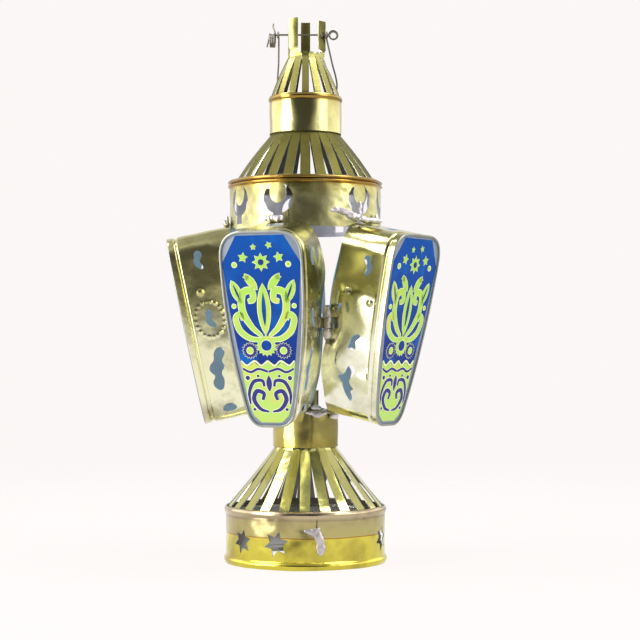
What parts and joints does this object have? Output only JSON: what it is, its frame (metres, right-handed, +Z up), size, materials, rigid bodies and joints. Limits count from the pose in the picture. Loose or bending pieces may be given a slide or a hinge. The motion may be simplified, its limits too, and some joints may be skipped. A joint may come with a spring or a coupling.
{
  "type": "candle lantern",
  "caption": "Tin candle lantern with petal-shaped glass-fronted boxes round a candle, slotted base and top, a hinged door petal and a wire bail.",
  "frame": {"origin": "on the lantern's upright axis, level with the foot of the base ring", "axes": "+Z up along the axis, -Y towards the front with the door petal, +X to the right seen from the front"},
  "size_m": [0.1438, 0.1496, 0.2898],
  "materials": {
    "brass_tin": "thin brass-lacquered tinplate, hand bent, dented and stained",
    "yellow_tin": "yellow lacquered tinplate with a brown heat tint",
    "dark_gold_tin": "deep gold lacquered tinplate",
    "solder": "dull grey soft solder, lumpy",
    "steel_wire": "drawn steel wire, dull",
    "printed_glass": "clear pane printed on its face in blue and lime green"
  },
  "bodies": {
    "lantern": {"base_ring": "yellow_tin", "base_cage": "brass_tin", "lower_neck": "dark_gold_tin", "candle_plate": "brass_tin", "candle_socket": "brass_tin", "upper_ring": "brass_tin", "upper_cage": "brass_tin", "upper_neck": "brass_tin", "top_cage": "brass_tin", "cross_wire": "steel_wire", "lower_hinge_leaf": "brass_tin", "upper_hinge_leaf": "brass_tin", "hinge_pin": "steel_wire", "door_catch": "solder", "right_side_solder": "solder", "back_side_solder": "solder", "left_side_solder": "solder", "left_petal_frame": "brass_tin", "left_petal_glass": "printed_glass", "right_petal_frame": "brass_tin", "right_petal_glass": "printed_glass", "back_right_petal_frame": "brass_tin", "back_right_petal_glass": "printed_glass", "back_left_petal_frame": "brass_tin", "back_left_petal_glass": "printed_glass", "left_top_solder": "solder", "left_foot_solder": "solder", "right_top_solder": "solder", "right_foot_solder": "solder", "back_right_top_solder": "solder", "back_right_foot_solder": "solder", "back_left_top_solder": "solder", "back_left_foot_solder": "solder"},
    "door": {"door_petal_frame": "brass_tin", "door_petal_glass": "printed_glass", "door_hinge_leaf": "brass_tin"},
    "bail": {"bail": "steel_wire"}
  },
  "joints": [
    {"name": "door_swing", "type": "hinge", "parent": "lantern", "child": "door", "pos_m": [0.01162, -0.03576, 0.1265], "axis": [0, 0, 1], "range_deg": [0, 65]},
    {"name": "bail_swing", "type": "hinge", "parent": "lantern", "child": "bail", "pos_m": [0, 0, 0.2814], "axis": [1, 0, 0], "range_deg": [0, 304]}
  ]
}
